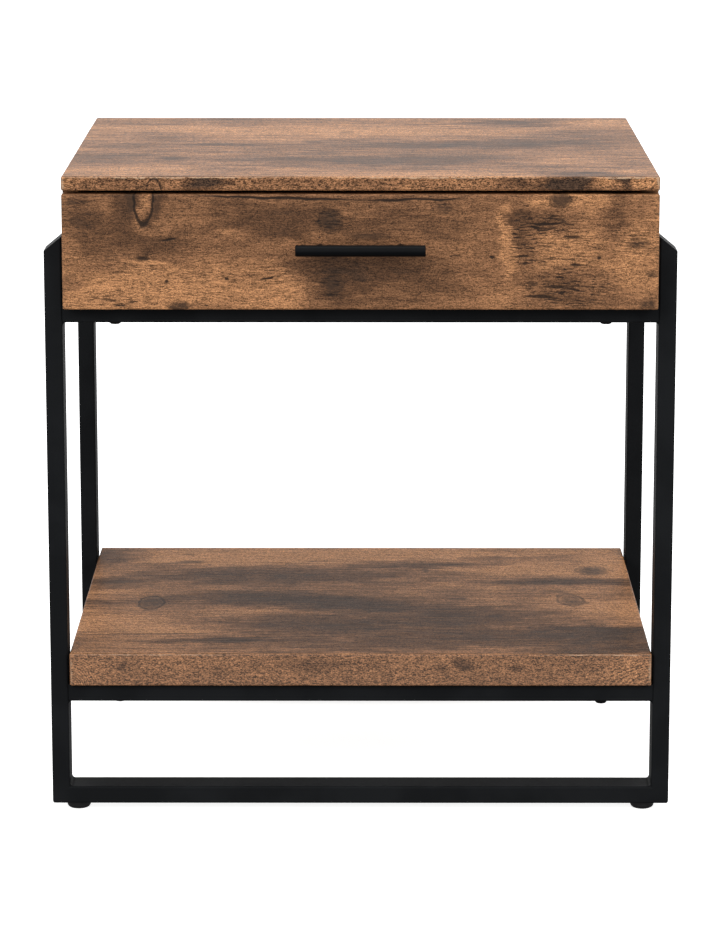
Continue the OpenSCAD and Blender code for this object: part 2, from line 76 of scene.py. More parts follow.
cad_low, cad_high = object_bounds()

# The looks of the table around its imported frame: the printed boards, the finishes of the other
# nodes, the floor, the light and the camera. Lengths are in metres unless a comment says mm.

MM = 0.001

# Blender's noise mostly stays this close to 0.5
NOISE_REACH = 0.2

# ---------- node helpers ----------


class Graph:
    """Adds nodes to one node tree. Most calls return the new node's output socket."""

    def __init__(self, tree):
        self.tree = tree

    def node(self, kind, *inputs, **settings):
        made = self.tree.nodes.new("ShaderNode" + kind)
        for name, value in settings.items():
            setattr(made, name, value)
        for socket, value in zip(made.inputs, inputs):
            self.feed(socket, value)
        return made

    def feed(self, socket, value):
        if isinstance(value, bpy.types.NodeSocket):
            self.tree.links.new(value, socket)
        elif value is not None:
            socket.default_value = value

    def calc(self, operation, a, b=None, c=None):
        return self.node("Math", a, b, c, operation=operation).outputs[0]

    def add(self, a, b):
        return self.calc("ADD", a, b)

    def times(self, a, b):
        return self.calc("MULTIPLY", a, b)

    def vector(self, operation, a, b):
        return self.node("VectorMath", a, b, operation=operation).outputs[0]

    def scaled(self, colour, factor):
        """A colour or vector times a number."""
        made = self.node("VectorMath", colour, operation="SCALE")
        self.feed(made.inputs["Scale"], factor)
        return made.outputs[0]

    def mix(self, factor, a, b):
        made = self.node("Mix", factor, data_type="RGBA")
        self.feed(made.inputs[6], a)
        self.feed(made.inputs[7], b)
        return made.outputs[2]

    def stretch(self, value, low, high, to_low=0.0, to_high=1.0):
        """Value from low to high becomes to_low to to_high, eased and clamped."""
        made = self.node(
            "MapRange", value, low, high, to_low, to_high, interpolation_type="SMOOTHSTEP"
        )
        return made.outputs[0]

    def noise_node(self, place, along, across, detail, rough):
        squeezed = self.vector("MULTIPLY", place, (1 / along, 1 / across, 1 / across))
        made = self.node("TexNoise", squeezed)
        made.inputs["Scale"].default_value = 1
        made.inputs["Detail"].default_value = detail
        made.inputs["Roughness"].default_value = rough
        return made

    def noise(self, place, along, across, detail=3.0, rough=0.5):
        """Noise whose features are about that long and that wide, in millimetres."""
        return self.noise_node(place, along, across, detail, rough).outputs[0]

    def swing(self, place, along, across, detail=3.0, rough=0.5):
        """Noise stretched to run from -1 to 1."""
        value = self.noise(place, along, across, detail, rough)
        low, high = 0.5 - NOISE_REACH, 0.5 + NOISE_REACH
        return self.node("MapRange", value, low, high, -1.0, 1.0).outputs[0]

    def flecks(self, place, along, across):
        """Grains of about that size, each with its own value from -1 to 1."""
        squeezed = self.vector("MULTIPLY", place, (1 / along, 1 / across, 1 / across))
        grain = self.node("TexVoronoi", squeezed)
        grain.inputs["Scale"].default_value = 1
        value = self.node("SeparateXYZ", grain.outputs["Color"]).outputs[0]
        return self.calc("MULTIPLY_ADD", value, 2.0, -1.0)

    def warp(self, place, size, reach, detail=2.0):
        """Place pushed about by noise: size is the noise's length and width, reach how far."""
        push = self.noise_node(place, size[0], size[1], detail, 0.5).outputs[1]
        centred = self.vector("SUBTRACT", push, (0.5, 0.5, 0.5))
        shift = self.vector(
            "MULTIPLY", centred, (reach[0] / NOISE_REACH, reach[1] / NOISE_REACH, 0)
        )
        return self.vector("ADD", place, shift)

    def place(self, centre, axes):
        """Millimetres from a centre, in the order along the grain, across it, and deep."""
        local = self.node("TexCoord").outputs["Object"]
        offset = self.scaled(self.vector("SUBTRACT", local, tuple(centre)), 1 / MM)
        parts = self.node("SeparateXYZ", offset).outputs
        ordered = [parts["XYZ".index(axis)] for axis in axes]
        return self.node("CombineXYZ", *ordered).outputs[0]

    def marks(self, place, marks, output):
        """Sum over the marks of one output of the mark group, each at its own strength."""
        total = 0.0
        for mark in marks:
            strength = mark.rim if output == "Rim" else mark.depth
            if not strength:
                continue
            group = self.node("Group", node_tree=MARK_GROUP)
            turn = math.radians(mark.tilt)
            self.feed(group.inputs["Place"], place)
            group.inputs["Centre"].default_value = (mark.along, mark.across, 0)
            group.inputs["Long axis"].default_value = (
                math.cos(turn) / mark.long, math.sin(turn) / mark.long, 0
            )
            group.inputs["Wide axis"].default_value = (
                -math.sin(turn) / mark.wide, math.cos(turn) / mark.wide, 0
            )
            total = self.calc("MULTIPLY_ADD", group.outputs[output], strength, total)
        return total


# A knot, stain or crack on a board, or a painted highlight or shadow: its centre and half sizes
# in mm, how strong its inside and its rim are, and its tilt in degrees.
Mark = namedtuple("Mark", "along across long wide depth rim tilt", defaults=(0.6, 0, 0))

# Growth rings from a mark's centre to its edge
RING_COUNT = 16


def make_mark_group():
    """Node group for one mark. Core has a soft edge, Haze fades from the centre, Rim is a thin
    ring, Bend is how the fibres part around it, and Rings are growth rings."""
    tree = bpy.data.node_groups.new("mark", "ShaderNodeTree")
    for name in ("Place", "Centre", "Long axis", "Wide axis"):
        tree.interface.new_socket(name, in_out="INPUT", socket_type="NodeSocketVector")
    for name in ("Core", "Haze", "Rim", "Bend", "Rings"):
        tree.interface.new_socket(name, in_out="OUTPUT", socket_type="NodeSocketFloat")
    g = Graph(tree)
    given = tree.nodes.new("NodeGroupInput").outputs
    result = tree.nodes.new("NodeGroupOutput").inputs
    offset = g.vector("SUBTRACT", given["Place"], given["Centre"])
    u = g.node("VectorMath", offset, given["Long axis"], operation="DOT_PRODUCT").outputs[1]
    v = g.node("VectorMath", offset, given["Wide axis"], operation="DOT_PRODUCT").outputs[1]
    away = g.calc("SQRT", g.calc("MULTIPLY_ADD", u, u, g.times(v, v)))
    g.feed(result["Core"], g.stretch(away, 1.15, 0.35))
    g.feed(result["Haze"], g.stretch(away, 1.3, 0.0))
    g.feed(result["Rim"], g.stretch(g.calc("ABSOLUTE", g.add(away, -0.85)), 0.16, 0.02))
    g.feed(result["Bend"], g.times(v, g.stretch(away, 2.4, 0.4)))
    ripple = g.calc("SINE", g.times(away, RING_COUNT * 2 * math.pi))
    g.feed(result["Rings"], g.times(ripple, g.stretch(away, 1.1, 0.6)))
    return tree


MARK_GROUP = make_mark_group()


def new_material(name):
    """A material with a Principled BSDF, and the graph to feed it with."""
    material = bpy.data.materials.new(name)
    material.use_nodes = True
    shader = material.node_tree.nodes["Principled BSDF"]
    return material, Graph(material.node_tree), shader


def set_shader(g, shader, colour, rough, height, depth, gloss):
    """Feeds the shader. depth is the relief's height in mm, gloss the specular level."""
    g.feed(shader.inputs["Base Color"], colour)
    g.feed(shader.inputs["Roughness"], rough)
    shader.inputs["Specular IOR Level"].default_value = gloss
    bump = g.node("Bump")
    bump.inputs["Strength"].default_value = 1
    bump.inputs["Distance"].default_value = depth * MM
    g.feed(bump.inputs["Height"], height)
    g.feed(shader.inputs["Normal"], bump.outputs[0])


# ---------- the printed rustic wood ----------

HONEY = (0.38, 0.181, 0.080, 1)
TAN = (0.225, 0.106, 0.049, 1)
UMBER = (0.105, 0.049, 0.023, 1)
SMOKE = (0.049, 0.0265, 0.0155, 1)
BARK = (0.014, 0.008, 0.005, 1)
# pale colour of the painted highlights on the arrises
ARRIS_HIGHLIGHT = (0.50, 0.33, 0.21, 1)

# How one face is printed. level is its ground, from 0 for umber over tan to 1 for honey, and
# mottle how far clouds push it. Then its marks, and how strong the streaks, fibres, sand-like
# speckle, the growth lines, the chips and the pits are, and how glossy its lacquer is. Of the
# marks, the arris highlights are painted highlights on the rounded arrises and corners, and on
# the drawer front the stains also hold painted shadow under the handle.
Print = namedtuple(
    "Print",
    "level mottle stains lights knots cracks torn rubs rings "
    "streaks fibre speckle lines chips pits gloss",
    defaults=((), (), (), (), (), (), (), 0.12, 0.14, 0.35, 0.04, 0.0, 0.6, 0.2),
)


# The plain place on a face, and the same place pushed about by noise: cloudy far, near a
# little, steady smoothly, and fibres as near but parted around the knots.
Places = namedtuple("Places", "plain cloudy near steady fibres")

# The patterns that several layers of the print share
Grain = namedtuple("Grain", "streak fibre chips")

BEND_REACH = 3.0       # how far the fibres part around a knot, in mm
LINE_PITCH = 3.1       # distance between growth lines, in mm
LINE_WANDER = 34       # how far the growth lines wander, in mm
DARKEST_SHADE = 0.2    # the least that the fine grain leaves of the ground's brightness
MOST_COVER = 0.92      # the most that a mark hides of what lies under it
RELIEF = 0.14          # height of the embossing, in mm


def print_places(g, centre, axes, look):
    plain = g.place(centre, axes)
    cloudy = g.warp(plain, (40, 16), (9, 6), 5)
    near = g.warp(plain, (10, 5), (1.4, 0.8), 4)
    steady = g.warp(plain, (24, 16), (1.5, 0.9), 2)
    bend = g.times(g.marks(plain, look.knots, "Bend"), -BEND_REACH)
    around_knots = g.node("CombineXYZ", 0.0, bend, 0.0).outputs[0]
    fibres = g.vector("ADD", near, around_knots)
    return Places(plain, cloudy, near, steady, fibres)


def print_grain(g, at):
    swirl = g.warp(at.plain, (6, 4), (2.2, 1.8))
    streak = g.swing(at.fibres, 60, 4.0, 5, 0.65)
    fibre = g.swing(at.fibres, 18, 0.9, 3)
    chips = g.swing(swirl, 4.2, 1.7, 3, 0.65)
    return Grain(streak, fibre, chips)


def ground_level(g, at, grain, look):
    """How light the ground is: clouds, streaks, light patches and stains; on the drawer front the
    stains also hold painted shadow under the handle.
    """
    cloud = g.swing(at.cloudy, 60, 20, 5, 0.62)
    ragged = g.swing(at.cloudy, 26, 8, 5, 0.65)
    level = g.calc("MULTIPLY_ADD", cloud, look.mottle, look.level)
    level = g.calc("MULTIPLY_ADD", grain.streak, look.streaks, level)
    level = g.add(level, g.marks(at.cloudy, look.lights, "Haze"))
    stained_and_shaded = g.marks(at.cloudy, look.stains, "Haze")
    stained_and_shaded = g.times(stained_and_shaded, g.calc("MULTIPLY_ADD", ragged, 0.35, 1.0))
    return g.calc("SUBTRACT", level, stained_and_shaded)


def ground_colour(g, level):
    """Smoke below umber, then tan, and honey at the top."""
    colour = g.mix(g.stretch(level, -0.05, 0.5), UMBER, TAN)
    colour = g.mix(g.stretch(level, 0.4, 1.0), colour, HONEY)
    return g.mix(g.stretch(level, 0.0, -0.7, 0.0, 0.9), colour, SMOKE)


def fine_grain(g, at, grain, level, look):
    """Brightness of the fine grain over the ground, around 1."""
    speckle = g.add(g.swing(at.plain, 1.0, 0.8, 1), g.flecks(at.plain, 1.7, 0.8))
    wander = g.noise(at.fibres, 90, 16, 2)
    across = g.node("SeparateXYZ", at.fibres).outputs[1]
    phase = g.calc("MULTIPLY_ADD", wander, LINE_WANDER, across)
    lines = g.calc("SINE", g.times(phase, 2 * math.pi / LINE_PITCH))
    shade = g.calc("MULTIPLY_ADD", grain.streak, look.streaks, 1.0)
    shade = g.calc("MULTIPLY_ADD", grain.fibre, look.fibre, shade)
    shade = g.calc("MULTIPLY_ADD", speckle, look.speckle, shade)
    shade = g.calc("MULTIPLY_ADD", g.times(lines, g.stretch(level, 0.3, 0.8)), look.lines, shade)
    shade = g.calc("MULTIPLY_ADD", grain.chips, look.chips, shade)
    shade = g.add(shade, g.marks(at.steady, look.rings, "Rings"))
    return g.calc("MAXIMUM", shade, DARKEST_SHADE)


def with_painted_highlights(g, at, grain, look, colour):
    """Painted highlights: pale bands where light catches the rounded arrises and the corners."""
    painted_highlight = g.times(g.marks(at.near, look.rubs, "Core"), g.stretch(grain.chips, -0.8, 0.4))
    return g.mix(g.calc("MINIMUM", painted_highlight, 0.9), colour, ARRIS_HIGHLIGHT)


def with_knots(g, at, grain, look, colour):
    core = g.times(
        g.marks(at.near, look.knots, "Core"), g.stretch(grain.chips, -0.8, 0.8, 1.15, 0.6)
    )
    return g.mix(g.calc("MINIMUM", core, MOST_COVER), colour, SMOKE)


def gap_cover(g, at, grain, look):
    """Where the print shows gaps in the wood: rims of knots, cracks, torn fibres and pits."""
    rim = g.times(
        g.marks(at.steady, look.knots, "Rim"), g.stretch(grain.chips, -0.7, 0.5, 1.0, 0.45)
    )
    crack = g.add(rim, g.marks(at.steady, look.cracks, "Core"))
    dashes = g.swing(at.steady, 11, 1.5, 3, 0.6)
    tear = g.times(g.marks(at.near, look.torn, "Core"), g.stretch(dashes, 0.1, 0.6))
    cluster = g.stretch(g.noise(at.plain, 60, 26, 2), 0.48, 0.62)
    pit = g.stretch(g.noise(at.near, 4.5, 1.5, 2), 0.64, 0.74)
    pit = g.times(pit, g.times(cluster, look.pits))
    return g.calc("MINIMUM", g.add(g.add(crack, tear), pit), MOST_COVER)


def printed_wood(name, centre, axes, look):
    """Rustic wood print on one face of a board, embossed along the fibres."""
    material, g, shader = new_material(name)
    at = print_places(g, centre, axes, look)
    grain = print_grain(g, at)
    level = ground_level(g, at, grain, look)
    colour = g.scaled(ground_colour(g, level), fine_grain(g, at, grain, level, look))
    # painted highlights along the arrises and at the corners
    colour = with_painted_highlights(g, at, grain, look, colour)
    colour = with_knots(g, at, grain, look, colour)
    gaps = gap_cover(g, at, grain, look)
    colour = g.mix(gaps, colour, BARK)
    height = g.calc("MULTIPLY_ADD", grain.streak, 0.2, g.times(gaps, -1.0))
    height = g.add(g.times(grain.fibre, 0.3), height)
    rough = g.stretch(grain.fibre, -1, 1, 0.48, 0.38)
    set_shader(g, shader, colour, rough, height, RELIEF, look.gloss)
    return material


# Marks are placed in mm from the middle of the part for the top and the shelf, and from the
# board's centre for its edges and the drawer front: along to the right, across to the back or up.

TOP_STAINS = (
    Mark(160, 205, 60, 34, 0.7),
    Mark(120, 22, 150, 46, 0.65),
    Mark(30, 10, 100, 34, 0.25),
    Mark(205, 60, 80, 60, 0.3),
    Mark(240, 110, 70, 50, 0.25),
    Mark(10, -112, 180, 44, 0.6),
    Mark(80, -80, 90, 50, 0.3),
    Mark(-250, -85, 56, 60, 0.45),
    Mark(-180, -95, 24, 26, 0.4),
    Mark(-195, 80, 46, 52, 0.35),
    Mark(-140, 22, 100, 10, 0.5),
    Mark(-40, 40, 30, 14, 0.35),
    Mark(214, -205, 56, 30, 0.8),
    Mark(165, -152, 34, 14, 0.3),
    Mark(-120, 234, 90, 16, 0.5),
    Mark(-210, 190, 50, 9, 0.4),
    Mark(-240, 10, 50, 40, 0.3),
    Mark(0, -50, 260, 110, 0.22),
)
TOP_LIGHTS = (
    Mark(-20, 135, 190, 56, 0.8),
    Mark(-200, 160, 110, 30, 0.45),
    Mark(255, 200, 50, 50, 0.6),
    Mark(-225, -185, 90, 34, 0.55),
    Mark(60, -215, 160, 30, 0.6),
    Mark(252, -190, 34, 22, 0.7),
    Mark(190, -100, 60, 30, 0.45),
    Mark(-110, 60, 60, 22, 0.3),
)
TOP_KNOTS = (
    Mark(59, -155, 20, 30, 0.35, 0.35, -22),
    Mark(-48, 46, 14, 10, 0.6),
    Mark(-15, 120, 8, 12, 0.45, 0.3),
    Mark(77, 215, 5, 11, 0.5),
    Mark(176, 10, 14, 30, 0.25, 0.3),
    Mark(-183, -88, 9, 16, 0.55),
    Mark(-118, 130, 9, 7, 0.4),
)
TOP_CRACKS = (
    Mark(-130, 20, 60, 1.4, 0.6, 0, 2),
    Mark(220, 12, 40, 1.4, 0.5, 0, -3),
    Mark(110, 70, 60, 1.2, 0.4),
)

SHELF_STAINS = (
    Mark(-266, 190, 46, 56, 0.8),
    Mark(-100, 112, 190, 52, 1.0),
    Mark(-256, 80, 42, 30, 0.8),
    Mark(-95, 12, 140, 46, 1.0),
    Mark(-10, -8, 80, 36, 0.6),
    Mark(70, 161, 90, 22, 1.0),
    Mark(140, 192, 100, 12, 0.6),
    Mark(29, -29, 100, 26, 0.8),
    Mark(214, 84, 100, 20, 1.2),
    Mark(-10, -99, 180, 52, 0.9),
    Mark(120, -60, 120, 40, 0.6),
    Mark(250, -124, 90, 38, 0.9),
    Mark(170, -139, 140, 40, 0.7),
    Mark(30, -175, 280, 50, 0.6),
    Mark(-136, -160, 100, 11, 0.9),
    Mark(250, -195, 90, 50, 0.8),
    Mark(-264, -5, 44, 34, 0.5),
    Mark(0, -40, 300, 170, 0.25),
)
SHELF_LIGHTS = (
    Mark(-255, -85, 70, 34, 0.7),
    Mark(-200, -112, 90, 30, 0.45),
    Mark(165, 142, 100, 30, 0.6),
    Mark(255, -30, 60, 40, 0.6),
    Mark(-130, 192, 120, 30, 0.65),
    Mark(40, 208, 150, 24, 0.7),
    Mark(-120, -40, 70, 26, 0.5),
    Mark(0, 200, 300, 60, 0.25),
    Mark(264, 150, 30, 50, 0.6),
)
SHELF_KNOTS = (
    Mark(243, 133, 19, 24, 1.0, 0.3),
    Mark(214, 6, 15, 30, 0.7, 0.7, 8),
    Mark(203, 42, 22, 10, 0.7),
    Mark(-213, -7, 15, 32, 0.8, 0.9),
    Mark(-181, 173, 20, 9, 0.8),
    Mark(-186, 208, 8, 5, 0.6),
    Mark(86, -54, 34, 7, 0.85),
    Mark(135, -59, 14, 7, 0.9, 0, 12),
    Mark(99, 10, 15, 7, 0.8),
    Mark(181, -109, 16, 16, 0.2, 0.6),
    Mark(-20, -97, 26, 7, 0.7),
    Mark(-256, 82, 22, 12, 0.7),
    Mark(68, 135, 4, 12, 0.7),
)
SHELF_CRACKS = (
    Mark(-206, -134, 82, 1.8, 0.95, 0, 2),
    Mark(-90, -146, 70, 1.4, 0.7, 0, 2),
    Mark(-130, -160, 50, 2.2, 0.7),
    Mark(80, -152, 120, 1.2, 0.55),
    Mark(-46, 175, 18, 1.8, 0.8, 0, 3),
    Mark(-30, 240, 60, 2.2, 0.6),
)

FRONT_STAINS_AND_HANDLE_SHADOW = (
    Mark(-262, 34, 26, 34, 0.45),
    Mark(-220, 42, 12, 32, 0.6),
    Mark(-191, 44, 10, 32, 0.5),
    Mark(-238, 8, 44, 26, 0.5),
    Mark(-187, 5, 34, 14, 0.5),
    Mark(-120, 32, 130, 40, 0.42),
    Mark(-78, 24, 34, 20, 0.3),
    # The stains just below the handle are partly painted shadow of the handle.
    Mark(-38, -14, 44, 20, 0.5),
    Mark(5, -10, 80, 22, 0.6),
    Mark(-26, -34, 34, 30, 0.35),
    Mark(40, 34, 130, 40, 0.36),
    Mark(60, -34, 110, 34, 0.35),
    Mark(154, 18, 16, 44, 0.6),
    Mark(180, 30, 40, 18, 0.4),
    Mark(196, -36, 60, 26, 0.3),
    Mark(240, 40, 16, 46, 0.7),
    Mark(266, 40, 18, 18, 0.4),
    Mark(-278, -30, 20, 12, 0.5),
)
FRONT_LIGHTS = (
    Mark(139, 14, 9, 40, 0.8),
    Mark(-225, -36, 100, 34, 0.45),
    Mark(-110, -34, 100, 30, 0.4),
    Mark(-118, 17, 26, 7, 0.6),
    Mark(192, 4, 60, 24, 0.5),
    Mark(264, 8, 34, 50, 0.4),
    Mark(205, 47, 70, 10, 0.5),
    Mark(-203, 42, 8, 24, 0.4),
    Mark(120, -40, 40, 20, 0.25),
)
FRONT_KNOTS = (
    Mark(-203.5, 55, 10, 34, 0.0, 1.8),
    Mark(-216, 47, 5, 18, 0.8, 0, 6),
    Mark(-191, 47, 5, 18, 0.6),
    Mark(-271, 47, 6, 4, 0.6),
    Mark(-266, 30, 9, 7, 0.45, 0.2),
    Mark(-29, 30, 13, 12, 0.95, 0.5),
    Mark(-25, -31, 11, 12, 0.9, 0.3),
    Mark(77, 43, 11, 8, 0.6, 0.3),
    Mark(188, 49, 12, 8, 1.3, 0.6),
    Mark(-170, -52, 13, 6, 1.2),
    Mark(261, 8, 14, 5, 0.9, 0, 3),
    Mark(275, -21, 8, 4, 0.8),
    Mark(272, -50, 10, 7, 0.9),
    Mark(10, 15, 24, 4, 0.7),
)
FRONT_CRACKS = (
    Mark(-180, 12.5, 9, 1.5, 1.2, 0, 10),
    Mark(-80, 51.5, 88, 1.5, 1.5, 0, -1.4),
    Mark(52, 50, 58, 1.4, 1.2, 0, 0.6),
    Mark(176, 27, 22, 1.4, 1.0, 0, 2),
    Mark(170, 23, 18, 1.2, 0.8, 0, -3),
    Mark(201, 14.5, 9, 2.0, 0.9),
    Mark(189, -33, 24, 2.2, 0.7, 0, 3),
    Mark(169, -42, 20, 2.2, 0.9, 0, -2),
    Mark(152, -4, 10, 1.4, 0.9),
    Mark(203, -12, 8, 1.6, 1.0),
    Mark(-206, -6, 8, 2.0, 0.9),
    Mark(-236, -46, 11, 2.0, 0.7, 0, -3),
    Mark(-183, -27.5, 2.8, 2.2, 1.0),
    Mark(-126, -25.5, 2.6, 1.9, 1.0),
    Mark(-88, -25, 9, 1.6, 0.9, 0, 8),
    Mark(89, -3, 7, 1.4, 0.7),
    Mark(125, -4, 3.6, 2.0, 1.0),
    Mark(224, -5, 2.6, 2.0, 1.0),
)
FRONT_TORN = (
    Mark(153, 16, 14, 36, 1.3),
    Mark(178, 26, 36, 14, 1.2),
    Mark(196, -36, 52, 22, 1.3),
    Mark(186, 0, 60, 20, 0.7),
    Mark(-215, -8, 44, 12, 0.6),
    Mark(-232, -47, 34, 7, 1.0),
    Mark(-266, 36, 24, 26, 0.7),
    Mark(-26, -30, 20, 22, 0.8),
    Mark(-29, 30, 18, 16, 0.8),
    Mark(77, 43, 18, 12, 0.7),
    Mark(-60, -20, 34, 14, 0.4),
    Mark(-130, -22, 90, 18, 0.35),
    Mark(262, 10, 30, 18, 0.6),
    Mark(240, 36, 14, 30, 0.4),
)


def face_centre(node):
    """Middle of the part at a board's height."""
    return Vector((0, 0, board_centre(node).z))


def top_print(node):
    look = Print(
        0.52, 0.26, TOP_STAINS, TOP_LIGHTS, TOP_KNOTS, TOP_CRACKS, streaks=0.36, speckle=0.8,
        gloss=0.16
    )
    return printed_wood("rustic_top", face_centre(node), "XYZ", look)


def shelf_print(node):
    look = Print(
        0.66, 0.30, SHELF_STAINS, SHELF_LIGHTS, SHELF_KNOTS, SHELF_CRACKS, streaks=0.30,
        speckle=0.7, gloss=0.04
    )
    return printed_wood("rustic_shelf", face_centre(node), "XYZ", look)


def front_print(node):
    look = Print(
        0.56, 0.26, FRONT_STAINS_AND_HANDLE_SHADOW, FRONT_LIGHTS, FRONT_KNOTS, FRONT_CRACKS, FRONT_TORN,
        fibre=0.28, speckle=0.5, lines=0.20, pits=1.0, gloss=0.18
    )
    return printed_wood("rustic_front", board_centre(node), "XZY", look)


def side_print(node):
    look = Print(0.42, 0.4, lines=0.05)
    return printed_wood("rustic_" + node, board_centre(node), "YZX", look)


def back_print(node):
    look = Print(0.45, 0.4, lines=0.05)
    return printed_wood("rustic_" + node, board_centre(node), "XZY", look)


TOP_EDGE_STAINS = (
    Mark(-146, 1, 24, 9, 2.0),
    Mark(199, 0, 26, 10, 2.2),
    Mark(160, 1, 34, 7, 0.5),
    Mark(249, 0, 7, 8, 1.6),
    Mark(-60, 2, 50, 6, 0.25),
    Mark(-238, -1, 60, 12, 0.2),
)
TOP_EDGE_LIGHTS = (Mark(267, 0, 18, 10, 1.2), Mark(228, 0, 14, 7, 0.4))
TOP_EDGE_KNOTS = (Mark(-193, -6.5, 7, 13, 0.0, 1.4),)
# Painted highlights: along the top arris of the front edge, and at both ends where the corners are
# rounded.
TOP_EDGE_HIGHLIGHTS = (
    Mark(-180, 6.3, 120, 1.5, 1.2),
    Mark(60, 6.3, 130, 1.4, 1.0),
    Mark(250, 6.3, 50, 1.6, 1.3),
    Mark(-280, 0, 2.0, 8, 0.8),
    Mark(280, 0, 2.2, 8, 0.9),
)
SHELF_EDGE_STAINS = (
    Mark(101, 4, 9, 8, 0.8),
    Mark(148, 2, 6, 5, 0.5),
    Mark(80, -2, 9, 7, 0.35),
    Mark(-230, 2, 5, 4, 0.5),
    Mark(-40, 6, 70, 9, 0.25),
)
SHELF_EDGE_LIGHTS = (Mark(262, 2, 40, 14, 0.25), Mark(-266, 0, 20, 20, 0.2))
SHELF_EDGE_RINGS = (
    Mark(-283, -17, 36, 34, 0.42),
    Mark(292, -20, 84, 40, 0.38),
)
# Painted highlights along the shelf edge's top arris and at both ends.
SHELF_EDGE_HIGHLIGHTS = (
    Mark(230, 15.4, 60, 1.0, 0.8),
    Mark(-200, 15.4, 90, 0.9, 0.5),
    Mark(280, 0, 1.6, 18, 0.8),
    Mark(-280, 0, 1.4, 18, 0.5),
)


def top_edge_print(node):
    look = Print(
        0.50, 0.35, TOP_EDGE_STAINS, TOP_EDGE_LIGHTS, TOP_EDGE_KNOTS, rubs=TOP_EDGE_HIGHLIGHTS,
        fibre=0.2, speckle=0.8, chips=0.3, pits=1.2, gloss=0.18
    )
    return printed_wood("rustic_top_edge", board_centre(node), "XZY", look)


def shelf_edge_print(node):
    look = Print(
        0.40, 0.12, SHELF_EDGE_STAINS, SHELF_EDGE_LIGHTS, rubs=SHELF_EDGE_HIGHLIGHTS,
        rings=SHELF_EDGE_RINGS, streaks=0.06, fibre=0.28, speckle=0.8, lines=0.14, gloss=0.6
    )
    return printed_wood("rustic_shelf_edge", board_centre(node), "XZY", look)


def end_print(node):
    look = Print(0.42, 0.3, fibre=0.2, speckle=0.4, chips=0.15)
    return printed_wood("rustic_end_" + node, board_centre(node), "YZX", look)


# ---------- the other materials ----------


def powder_coat(name, tint, gloss):
    """Satin black powder coat with a fine orange peel."""
    material, g, shader = new_material(name)
    place = g.place((0, 0, 0), "XYZ")
    peel = g.noise(place, 0.9, 0.9, 2)
    cloud = g.noise(place, 60, 60, 3)
    dust = g.noise(place, 3, 3, 4, 0.7)
    colour = g.scaled(tint, g.stretch(cloud, 0.35, 0.65, 0.85, 1.15))
    rough = g.calc("MULTIPLY_ADD", dust, 0.14, 0.33)
    set_shader(g, shader, colour, rough, peel, 0.02, gloss)
    return material


def zinc_plate():
    """Zinc plated steel, brushed along the slides."""
    material, g, shader = new_material("zinc_plate")
    place = g.place((0, 0, 0), "YXZ")
    brushed = g.noise(place, 40, 0.5, 3)
    cloud = g.noise(place, 25, 12, 3)
    colour = g.mix(g.stretch(cloud, 0.3, 0.7), (0.50, 0.51, 0.53, 1), (0.66, 0.66, 0.65, 1))
    rough = g.calc("MULTIPLY_ADD", brushed, 0.25, 0.22)
    shader.inputs["Metallic"].default_value = 1
    set_shader(g, shader, colour, rough, brushed, 0.01, 0.5)
    return material


def moulded_plastic(name, colour):
    """Moulded plastic with a fine eroded texture."""
    material, g, shader = new_material(name)
    place = g.place((0, 0, 0), "XYZ")
    grain = g.noise(place, 0.5, 0.5, 3)
    cloud = g.noise(place, 9, 9, 2)
    tint = g.scaled(colour, g.stretch(cloud, 0.3, 0.7, 0.85, 1.15))
    rough = g.calc("MULTIPLY_ADD", grain, 0.2, 0.42)
    set_shader(g, shader, tint, rough, grain, 0.03, 0.3)
    return material


def beech():
    """Raw beech with short dark flecks."""
    material, g, shader = new_material("raw_beech")
    place = g.place((0, 0, 0), "XYZ")
    fibre = g.noise(place, 9, 0.5, 3)
    fleck = g.stretch(g.noise(place, 1.6, 0.35, 2), 0.6, 0.7)
    colour = g.mix(fibre, (0.50, 0.32, 0.16, 1), (0.66, 0.46, 0.26, 1))
    colour = g.mix(g.times(fleck, 0.6), colour, (0.25, 0.12, 0.05, 1))
    set_shader(g, shader, colour, 0.6, fibre, 0.05, 0.3)
    return material


def board_foil(axes):
    """Dark brown wood-grain foil on the boards inside."""
    material, g, shader = new_material("dark_foil_" + axes.lower())
    place = g.place((0, 0, 0), axes)
    near = g.warp(place, (40, 14), (8, 3))
    streak = g.noise(near, 120, 4, 4, 0.6)
    fibre = g.noise(near, 26, 0.8, 3)
    pore = g.stretch(g.noise(near, 6, 0.45, 2), 0.62, 0.72)
    colour = g.mix(g.stretch(streak, 0.3, 0.7), (0.042, 0.023, 0.013, 1), (0.10, 0.058, 0.035, 1))
    colour = g.scaled(colour, g.stretch(fibre, 0.25, 0.75, 0.8, 1.2))
    colour = g.mix(g.times(pore, 0.5), colour, (0.02, 0.011, 0.006, 1))
    height = g.add(fibre, g.times(pore, -1.0))
    set_shader(g, shader, colour, g.stretch(fibre, 0.3, 0.7, 0.5, 0.38), height, 0.06, 0.35)
    return material


# ---------- mesh helpers ----------

ARC_STEPS = 4               # grid lines on each side of an arris's corner
ARRIS_MARGIN = 1.3          # first grid line on the flat, in radii from the edge
WELD_DISTANCE = MM / 200    # CAD vertices closer than this are one
ON_PLANE = MM / 100         # an edge closer than this to a board's side lies on it


def board_centre(node):
    low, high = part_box(node)
    return (low + high) / 2


def grid_lines(low, high, radius, cell):
    """Grid lines across one side of a board: close on the rounded arrises, even between."""
    tangents = [math.tan(math.radians(45) * k / ARC_STEPS) for k in range(ARC_STEPS, 0, -1)]
    arc = np.array(tangents) * radius
    margin = ARRIS_MARGIN * radius
    flat = np.linspace(low + margin, high - margin, max(2, round((high - low) / cell)))
    inner = np.array([low + radius, *flat, high - radius])
    return np.concatenate([low + radius - arc, inner, high - radius + arc[::-1]])


